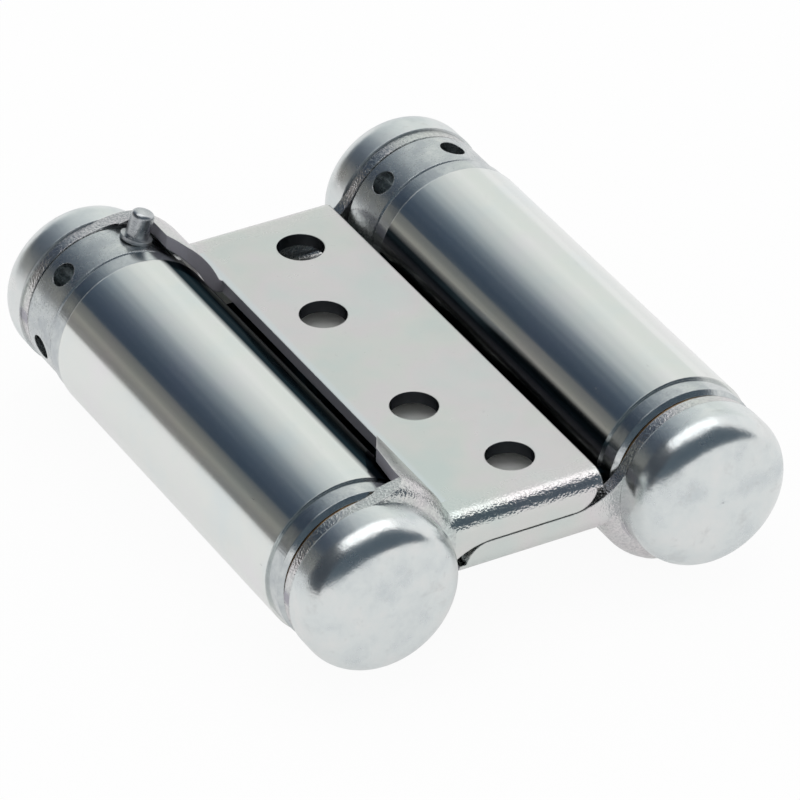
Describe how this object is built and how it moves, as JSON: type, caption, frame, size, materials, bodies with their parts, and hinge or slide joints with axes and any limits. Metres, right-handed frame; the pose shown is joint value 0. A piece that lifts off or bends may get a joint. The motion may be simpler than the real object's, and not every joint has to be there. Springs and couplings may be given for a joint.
{
  "type": "double-action spring hinge",
  "caption": "Double-action spring hinge: two parallel sprung barrels on one web, with a screw-on leaf pivoted on each, adjusting collars and tension pins.",
  "frame": {"origin": "middle of the hinge: midway between the barrels, halfway along the leaves, at the height of the barrels' axes", "axes": "+Y along the barrels towards the adjusting collars, +X from the door side's barrel to the frame side's, +Z out of the door leaf's screw face"},
  "size_m": [0.0714, 0.0882, 0.0296],
  "materials": {
    "barrel_zinc": "bright zinc plate, rolled smooth",
    "leaf_zinc": "satin zinc plate",
    "cap_zinc": "satin zinc plate",
    "bush_zinc": "turned, zinc plate",
    "collar_zinc": "grainy zinc plate",
    "pin_steel": "bare steel",
    "spindle_steel": "drawn steel",
    "spring_steel": "oiled spring steel",
    "washer_brass": "dull"
  },
  "bodies": {
    "barrels": {"twin_barrel": "barrel_zinc", "door_barrel_bush": "bush_zinc", "door_guide_bush": "bush_zinc", "door_thrust_washer": "washer_brass", "door_torsion_spring": "spring_steel", "frame_barrel_bush": "bush_zinc", "frame_guide_bush": "bush_zinc", "frame_thrust_washer": "washer_brass", "frame_torsion_spring": "spring_steel"},
    "door_leaf": {"door_leaf": "leaf_zinc", "door_spindle": "spindle_steel", "door_near_cap": "cap_zinc", "door_far_cap": "cap_zinc"},
    "door_collar": {"door_adjusting_collar": "collar_zinc"},
    "door_pin": {"door_tension_pin": "pin_steel"},
    "frame_leaf": {"frame_leaf": "leaf_zinc", "frame_spindle": "spindle_steel", "frame_near_cap": "cap_zinc", "frame_far_cap": "cap_zinc"},
    "frame_collar": {"frame_adjusting_collar": "collar_zinc"},
    "frame_pin": {"frame_tension_pin": "pin_steel"}
  },
  "joints": [
    {"name": "door_leaf_hinge", "type": "hinge", "parent": "barrels", "child": "door_leaf", "pos_m": [-0.0242, 0, 0], "axis": [0, -1, 0], "range_deg": [0, 180], "stiffness_Nm_per_rad": 0.25, "springref_deg": -57.3, "deforming": ["door_torsion_spring"]},
    {"name": "door_collar_turn", "type": "hinge", "parent": "door_leaf", "child": "door_collar", "pos_m": [-0.0242, 0, 0], "axis": [0, -1, 0], "range_deg": [0, 60]},
    {"name": "door_pin_pull", "type": "slide", "parent": "door_collar", "child": "door_pin", "axis": [0.309, 0, 0.9511], "range_m": [0, 0.006]},
    {"name": "frame_leaf_hinge", "type": "hinge", "parent": "barrels", "child": "frame_leaf", "pos_m": [0.0242, 0, 0], "axis": [0, -1, 0], "range_deg": [0, 180], "stiffness_Nm_per_rad": 0.25, "springref_deg": -57.3, "deforming": ["frame_torsion_spring"]},
    {"name": "frame_collar_turn", "type": "hinge", "parent": "frame_leaf", "child": "frame_collar", "pos_m": [0.0242, 0, 0], "axis": [0, -1, 0], "range_deg": [0, 60]},
    {"name": "frame_pin_pull", "type": "slide", "parent": "frame_collar", "child": "frame_pin", "axis": [-0.309, 0, -0.9511], "range_m": [0, 0.006]}
  ]
}
